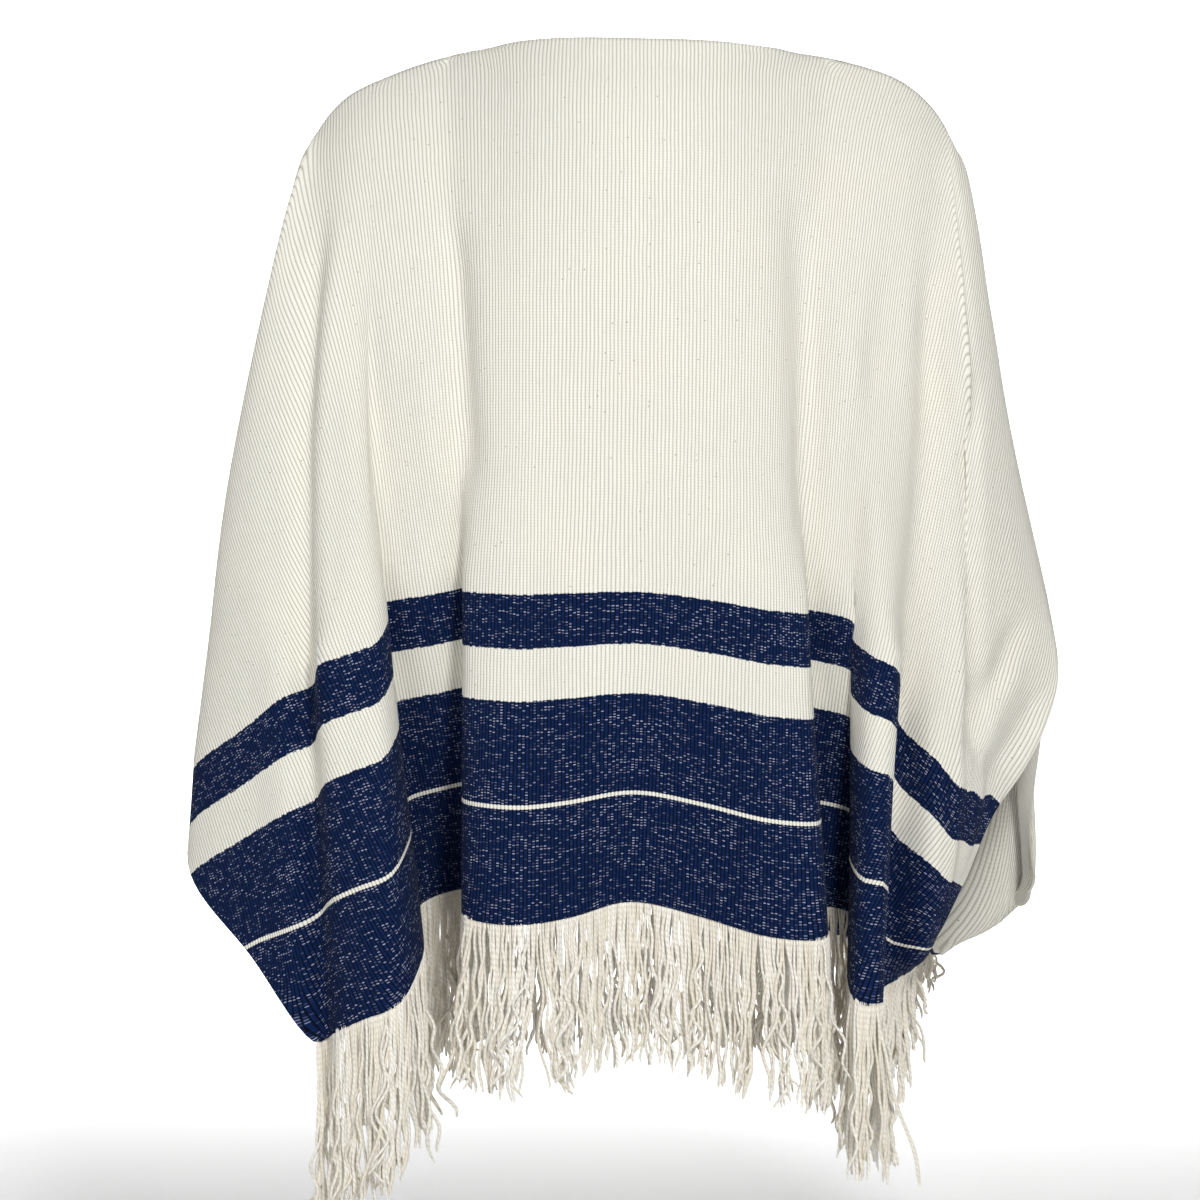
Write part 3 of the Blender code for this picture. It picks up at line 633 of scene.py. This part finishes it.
def strand_habits(count, rng):
    """How each yarn hangs: what it shares with its lock, what is its own, and what straying adds."""
    middle, number = strand_locks(count, rng)
    locks = number.max() + 1
    whole_turn = (0.0, 2.0 * np.pi)
    gather = rng.uniform(*LOCK_GATHER, locks)[number] * rng.uniform(*YARN_GATHER, count)
    stray = rng.random(count) < STRAY_SHARE
    gather[stray] *= rng.uniform(*STRAY_GATHER, stray.sum())
    lean = rng.normal(0.0, LOCK_LEAN, locks)[number] + rng.normal(0.0, YARN_LEAN, count)
    lean += stray * rng.normal(0.0, STRAY_LEAN, count)
    push = rng.normal(0.0, LOCK_PUSH, locks)[number] + rng.normal(0.0, YARN_PUSH, count)
    push += stray * rng.uniform(*STRAY_PUSH, count)
    wave = np.stack([rng.uniform(*LOCK_WAVE, locks)[number], rng.uniform(*YARN_WAVE, count)])
    wave[1] += stray * rng.uniform(*STRAY_WAVE, count)
    turns = np.stack([rng.uniform(*LOCK_TURNS, locks)[number], rng.uniform(*YARN_TURNS, count)])
    phase = np.stack([rng.uniform(*whole_turn, locks)[number], rng.uniform(*whole_turn, count)])
    layer = rng.uniform(*YARN_LAYER, count)
    return middle, gather, lean, push, layer, wave.T, turns.T, phase.T


def strand_centres(root, down, out, length, along, habits):
    """The middle line of each yarn, which leaves along the cloth and soon falls straight down."""
    side = np.cross(down, out)
    fall = np.array([0.0, 0.0, -1.0])
    blend = ((1.0 - np.exp(-along * FALL_PACE)) / (1.0 - np.exp(-FALL_PACE)))[:, None]
    steps = np.diff(along, prepend=0.0)[:, None]
    settled = np.minimum(along / LAYER_REACH, 1.0)
    leaning = along ** LEAN_POWER
    waving = along ** WAVE_POWER
    centres = []
    for i, (middle, gather, lean, push, layer, wave, turns, phase) in enumerate(zip(*habits)):
        way = down[i] * (1.0 - blend) + fall * blend
        way /= np.linalg.norm(way, axis=1, keepdims=True)
        run = np.cumsum(way * steps * length[i], axis=0)
        angles = 2.0 * np.pi * turns[:, None] * along + phase[:, None]
        swing = wave @ (np.sin(angles) - np.sin(phase[:, None]))
        sway = wave @ (np.cos(angles) - np.cos(phase[:, None])) * SWAY_SHARE
        inward = (root[middle] - root[i]) * gather
        outward = layer * settled + push * leaning + sway * waving
        sideways = lean * leaning + swing * waving
        centres.append(root[i] - down[i] * STRAND_TUCK + run + inward * leaning[:, None]
                       + out[i] * outward[:, None] + side[i] * sideways[:, None])
    return np.array(centres)


def strand_rings(centres, out, radius, along):
    """The points around each yarn, ring by ring."""
    tangent = np.gradient(centres, axis=1)
    tangent /= np.linalg.norm(tangent, axis=2, keepdims=True)
    first = np.cross(tangent, out[:, None])
    first /= np.linalg.norm(first, axis=2, keepdims=True)
    second = np.cross(tangent, first)
    taper = np.interp(along, *STRAND_TAPER)
    angle = np.arange(STRAND_SIDES) / STRAND_SIDES * 2.0 * np.pi
    rings = first[:, :, None] * np.cos(angle)[:, None] + second[:, :, None] * np.sin(angle)[:, None]
    return centres[:, :, None] + rings * (radius[:, None] * taper)[:, :, None, None]


def strand_faces(length, along):
    """The faces of all yarns and the map of their corners: the yarn's number and way round, then down."""
    count = len(length)
    index = np.arange(count * STRAND_RINGS * STRAND_SIDES).reshape(count, STRAND_RINGS, STRAND_SIDES)
    after = np.roll(index, -1, axis=2)
    quads = np.stack([index[:, :-1], index[:, 1:], after[:, 1:], after[:, :-1]], axis=3)
    number, ring, turn = np.indices((count, STRAND_RINGS - 1, STRAND_SIDES))[..., None]
    flat = np.zeros((*quads.shape, 2))
    flat[..., 0] = number + (turn + np.array([0, 0, 1, 1])) / (STRAND_SIDES + 1.0)
    flat[..., 1] = length[number] * along[ring + np.array([0, 1, 1, 0])]
    faces = quads.reshape(-1, 4).tolist()
    flat = flat.reshape(-1, 2).tolist()
    for i in range(count):
        faces.append(index[i, -1].tolist())
        flat += [[i + 0.5, length[i]]] * STRAND_SIDES
    return faces, flat


def make_fringe(name, folds, facing, surface, seed):
    """Loose yarns hanging from the hem in wavy locks, a few of them straying across the others."""
    rng = np.random.default_rng(seed)
    edge = HALF_WIDTH - STRAND_RADIUS
    cuts = np.linspace(edge, -edge, STRANDS)
    along = np.linspace(0.0, 1.0, STRAND_RINGS)
    root, down, out = hem_lines(folds, facing, cuts)
    length = strand_lengths(cuts, rng)
    habits = strand_habits(STRANDS, rng)
    centres = strand_centres(root, down, out, length, along, habits)
    radius = STRAND_RADIUS * rng.uniform(*STRAND_WIDTHS, STRANDS)
    points = strand_rings(centres, out, radius, along)
    faces, flat = strand_faces(length, along)
    return mesh_object(name, points.reshape(-1, 3), faces, flat, surface)


class Surface:
    """Adds the nodes of one material and links them."""

    def __init__(self, name):
        self.material = bpy.data.materials.new(name)
        self.material.use_nodes = True
        self.tree = self.material.node_tree
        self.shader = self.tree.nodes["Principled BSDF"]

    def add(self, kind, *values, **settings):
        node = self.tree.nodes.new(kind)
        for key, value in settings.items():
            setattr(node, key, value)
        for socket, value in zip(node.inputs, values):
            self.plug(socket, value)
        return node

    def plug(self, socket, value):
        if isinstance(value, bpy.types.NodeSocket):
            self.tree.links.new(value, socket)
        elif value is not None:
            socket.default_value = value

    def math(self, operation, *values):
        return self.add("ShaderNodeMath", *values, operation=operation).outputs[0]

    def smooth_step(self, value, low, high):
        node = self.add("ShaderNodeMapRange", value, low, high, 0.0, 1.0, interpolation_type="SMOOTHSTEP")
        return node.outputs[0]

    def mix(self, share, first, second):
        node = self.add("ShaderNodeMix", data_type="RGBA")
        self.plug(node.inputs[0], share)
        self.plug(node.inputs[6], first)
        self.plug(node.inputs[7], second)
        return node.outputs[2]

    def noise(self, vector, scale, detail=2.0):
        return self.add("ShaderNodeTexNoise", vector, None, scale, detail).outputs["Fac"]

    def random_cell(self, first, second):
        place = self.add("ShaderNodeCombineXYZ", self.math("FLOOR", first), self.math("FLOOR", second), 0.0)
        return self.add("ShaderNodeTexWhiteNoise", place.outputs[0], noise_dimensions="3D").outputs["Value"]

    def flat(self):
        """Outputs for s and t of the flat cloth, and both as a vector."""
        place = self.add("ShaderNodeUVMap", uv_map="flat").outputs[0]
        parts = self.add("ShaderNodeSeparateXYZ", place)
        return place, parts.outputs[0], parts.outputs[1]

    def ridges(self, count):
        """A round ridge for each whole step of the count: 0 in the grooves and 1 on top."""
        return self.math("ABSOLUTE", self.math("SINE", self.math("MULTIPLY", count, np.pi)))

    def weighed(self, *pairs):
        """The sum of each value times its weight."""
        total = 0.0
        for value, weight in pairs:
            total = self.math("ADD", total, self.math("MULTIPLY", value, weight))
        return total

    def stand_out(self, height):
        """Lets the light see this height in metres as relief."""
        bump = self.add("ShaderNodeBump")
        self.plug(bump.inputs["Strength"], 1.0)
        self.plug(bump.inputs["Distance"], 1.0)
        self.plug(bump.inputs["Height"], height)
        self.plug(self.shader.inputs["Normal"], bump.outputs[0])


def cream_colour(made, place, t_signed, rib_count, rib, weft):
    """Light ribs with streaks and warmer slubs, painted shade in the grooves and between the wefts, and seed
    specks.
    """
    stretched = made.add("ShaderNodeCombineXYZ", rib_count, made.math("MULTIPLY", t_signed, 60.0), 0.0)
    streak = made.noise(stretched.outputs[0], 0.9, 3.0)
    slub = made.smooth_step(made.noise(place, 14.0, 3.0), 0.35, 0.75)
    lit = made.mix(streak, CREAM_DULL, CREAM_LIGHT)
    lit = made.mix(slub, lit, CREAM_WARM)
    # The grooves between the ribs are darkened with painted shade.
    cream = made.mix(made.smooth_step(rib, 0.0, 0.80), CREAM_GROOVE_SHADE, lit)
    # Painted shade in the dips between the wefts.
    weft_gap_shade = made.math("MULTIPLY", made.smooth_step(weft, 0.5, 0.0), 0.24)
    cream = made.mix(weft_gap_shade, cream, CREAM_WEFT_GAP_SHADE)
    for scale, size, share, depth in SPECKS:
        cells = made.add("ShaderNodeTexVoronoi", place, None, scale)
        pick = made.add("ShaderNodeSeparateColor", cells.outputs["Color"]).outputs[0]
        dot = made.smooth_step(cells.outputs["Distance"], size, size * 0.4)
        speck = made.math("MULTIPLY", dot, made.math("LESS_THAN", pick, share))
        cream = made.mix(made.math("MULTIPLY", speck, depth), cream, SEED_BROWN)
    return cream


def navy_colour(made, place, rib_count, rib, weft_count):
    """Dark ribs with painted shade in their grooves, crossed by short thin dashes of lighter weft, in
    clusters and along some rows.
    """
    rib_offset = made.math("MULTIPLY", made.random_cell(rib_count, 7.0), 0.5)
    half_row = made.math("ADD", weft_count, rib_offset)
    own = made.random_cell(rib_count, half_row)
    row = made.random_cell(made.math("DIVIDE", rib_count, 7.0), weft_count)
    cluster = made.noise(place, 38.0, 2.0)
    chance = made.weighed((own, 0.58), (row, 0.24), (cluster, 0.30))
    bright = made.math("POWER", made.smooth_step(chance, 0.46, 0.95), 1.8)
    on_rib = made.smooth_step(rib, 0.25, 0.85)
    on_row = made.smooth_step(made.ridges(half_row), 0.78, 1.0)
    fleck = made.math("MULTIPLY", bright, made.math("MULTIPLY", on_rib, on_row))
    # The grooves between the ribs are darkened with painted shade.
    navy = made.mix(made.smooth_step(rib, 0.0, 0.9), NAVY_GROOVE_SHADE, NAVY_CROWN)
    return made.mix(fleck, navy, FLECK)


def band_shares(made, s, t_signed, rib_count, rib):
    """Where the cloth is navy, and where the thick cream weft runs. Edges jog from rib to rib."""
    t = made.math("ABSOLUTE", t_signed)
    jog = made.math("SUBTRACT", made.random_cell(rib_count, 0.0), 0.5)
    t_rib = made.math("ADD", t, made.weighed((jog, BAND_JOG), (rib, BAND_SCALLOP)))
    start, stop = UPPER_BAND
    upper = made.math("MULTIPLY", made.smooth_step(t_rib, start - BAND_BLUR, start + BAND_BLUR),
                      made.smooth_step(t_rib, stop + BAND_BLUR, stop - BAND_BLUR))
    lower = made.smooth_step(t_rib, LOWER_BAND - BAND_BLUR, LOWER_BAND + BAND_BLUR)
    off = made.math("ABSOLUTE", made.math("SUBTRACT", t, THICK_WEFT))
    off = made.math("ADD", off, made.math("MULTIPLY", rib, WEFT_SCALLOP))
    thick = made.smooth_step(off, *THICK_WEFT_EDGES)
    on_front = made.math("LESS_THAN", t_signed, 0.0)
    turned = made.math("MULTIPLY", on_front, made.math("LESS_THAN", s, TURNED_EDGE))
    navy = made.math("MULTIPLY", made.math("MAXIMUM", upper, lower), made.math("SUBTRACT", 1.0, thick))
    return made.math("MULTIPLY", navy, made.math("SUBTRACT", 1.0, turned)), thick


def cloth_material():
    """Cream warp ribs, navy weft bands with broken flecks, one thick cream weft, scattered seed specks."""
    made = Surface("ribbed handwoven cloth")
    place, s, t_signed = made.flat()
    drift = made.math("SUBTRACT", made.noise(place, 22.0), 0.5)
    drift = made.math("MULTIPLY", drift, THREAD_DRIFT)
    rib_count = made.math("DIVIDE", made.math("ADD", s, drift), RIB_PITCH)
    weft_count = made.math("DIVIDE", made.math("ADD", t_signed, drift), WEFT_PITCH)
    rib = made.ridges(rib_count)
    weft = made.ridges(weft_count)
    cream = cream_colour(made, place, t_signed, rib_count, rib, weft)
    navy = navy_colour(made, place, rib_count, rib, weft_count)
    navy_share, thick = band_shares(made, s, t_signed, rib_count, rib)
    made.plug(made.shader.inputs["Base Color"], made.mix(navy_share, cream, navy))

    grain = made.noise(place, 900.0, 2.0)
    made.stand_out(made.weighed((rib, RIB_HEIGHT), (weft, WEFT_HEIGHT),
                                (grain, GRAIN_HEIGHT), (thick, THICK_WEFT_HEIGHT)))
    rough = made.add("ShaderNodeMapRange", grain, 0.3, 0.7, 0.82, 0.95).outputs[0]
    made.plug(made.shader.inputs["Roughness"], rough)
    made.shader.inputs["Specular IOR Level"].default_value = 0.08
    made.shader.inputs["Sheen Weight"].default_value = 0.02
    made.shader.inputs["Sheen Roughness"].default_value = 0.5
    return made.material


def yarn_material():
    """Ivory two-ply yarn with its twist and painted shade between the plies, each yarn a little lighter or
    warmer than the next.
    """
    made = Surface("twisted ivory yarn")
    _, around, along = made.flat()
    number = made.random_cell(around, 0.0)
    whole_way_round = STRAND_PLIES * (STRAND_SIDES + 1) / STRAND_SIDES
    ply = made.ridges(made.weighed((made.math("FRACT", around), whole_way_round),
                                   (along, STRAND_PLIES * STRAND_TWIST)))
    tone = made.mix(number, YARN_WARM, YARN_LIGHT)
    # The grooves between the plies are darkened with painted shade.
    colour = made.mix(made.smooth_step(ply, 0.0, 0.5), YARN_PLY_SHADE, tone)
    made.plug(made.shader.inputs["Base Color"], colour)
    fuzz = made.noise(made.add("ShaderNodeTexCoord").outputs["Object"], 1800.0, 2.0)
    made.stand_out(made.weighed((ply, PLY_HEIGHT), (fuzz, FUZZ_HEIGHT)))
    rough = made.add("ShaderNodeMapRange", fuzz, 0.3, 0.7, 0.75, 0.92).outputs[0]
    made.plug(made.shader.inputs["Roughness"], rough)
    made.shader.inputs["Specular IOR Level"].default_value = 0.3
    made.shader.inputs["Sheen Weight"].default_value = 0.1
    return made.material


def floor_material():
    """Pale matt floor with a faint mottle."""
    made = Surface("pale studio floor")
    shade = made.noise(made.add("ShaderNodeTexCoord").outputs["Object"], 3.0, 3.0)
    made.plug(made.shader.inputs["Base Color"], made.mix(shade, FLOOR_DULL, FLOOR_LIGHT))
    made.shader.inputs["Roughness"].default_value = 0.9
    return made.material


def add_backdrop():
    """A pale floor that turns up into a wall far behind the cloth."""
    profile = [(FLOOR_HALF_WIDTH, FLOOR_Z), (BACKDROP_Y, FLOOR_Z)]
    for angle in np.linspace(0.0, np.pi / 2, 13)[1:]:
        back = BACKDROP_TURN * np.sin(angle)
        up = BACKDROP_TURN * (1.0 - np.cos(angle))
        profile.append((BACKDROP_Y - back, FLOOR_Z + up))
    profile.append((BACKDROP_Y - BACKDROP_TURN, FLOOR_Z + BACKDROP_HEIGHT))
    points = [(x, y, z) for y, z in profile for x in (-FLOOR_HALF_WIDTH, FLOOR_HALF_WIDTH)]
    faces = [(2 * i, 2 * i + 2, 2 * i + 3, 2 * i + 1) for i in range(len(profile) - 1)]
    flat = [(points[corner][0], points[corner][1]) for face in faces for corner in face]
    mesh_object("backdrop", points, faces, flat, floor_material())


def add_camera():
    """A camera that looks level at the back of the cloth."""
    data = bpy.data.cameras.new("camera")
    data.sensor_fit = "HORIZONTAL"
    data.angle = 2.0 * np.arctan(VIEW_HALF_WIDTH / CAMERA_PLACE[1])
    camera = bpy.data.objects.new("camera", data)
    camera.location = CAMERA_PLACE
    camera.rotation_euler = (np.pi / 2, 0.0, np.pi)
    bpy.context.collection.objects.link(camera)
    bpy.context.scene.camera = camera


def add_light(name, place, target, size, power):
    """A round light at this place, turned to its target."""
    data = bpy.data.lights.new(name, "AREA")
    data.shape = "DISK"
    data.size = size
    data.energy = power
    light = bpy.data.objects.new(name, data)
    light.location = place
    way = np.array(target) - np.array(place)
    flat = np.hypot(way[0], way[1])
    light.rotation_euler = (np.arctan2(flat, -way[2]), 0.0, np.arctan2(way[1], way[0]) - np.pi / 2)
    bpy.context.collection.objects.link(light)


def add_world():
    """Even light from all round."""
    world = bpy.data.worlds.new("studio")
    world.use_nodes = True
    sky = world.node_tree.nodes["Background"]
    sky.inputs["Color"].default_value = (1.0, 1.0, 1.0, 1.0)
    sky.inputs["Strength"].default_value = SKY_STRENGTH
    bpy.context.scene.world = world


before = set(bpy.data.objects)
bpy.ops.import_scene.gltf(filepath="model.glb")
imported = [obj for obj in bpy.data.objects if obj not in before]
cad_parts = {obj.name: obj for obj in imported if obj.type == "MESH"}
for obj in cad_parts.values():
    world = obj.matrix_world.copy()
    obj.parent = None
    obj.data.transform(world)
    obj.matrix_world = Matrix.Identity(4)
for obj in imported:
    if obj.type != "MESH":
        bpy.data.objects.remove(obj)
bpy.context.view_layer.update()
add_camera()
add_world()
add_backdrop()
bpy.context.scene.view_settings.view_transform = "Standard"
for light in LIGHTS:
    add_light(*light)

cloth = make_cloth(cloth_material())
yarn = yarn_material()
back_fringe = make_fringe("back_yarns", BACK_FOLDS, 1, yarn, 11)
front_fringe = make_fringe("front_yarns", FRONT_FOLDS, -1, yarn, 23)
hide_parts("back_panel", "front_panel")
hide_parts("back_fringe")
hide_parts("front_fringe")
for piece, slot in ((cloth, "cloth"), (back_fringe, "fringe"), (front_fringe, "fringe")):
    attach(piece, "root")
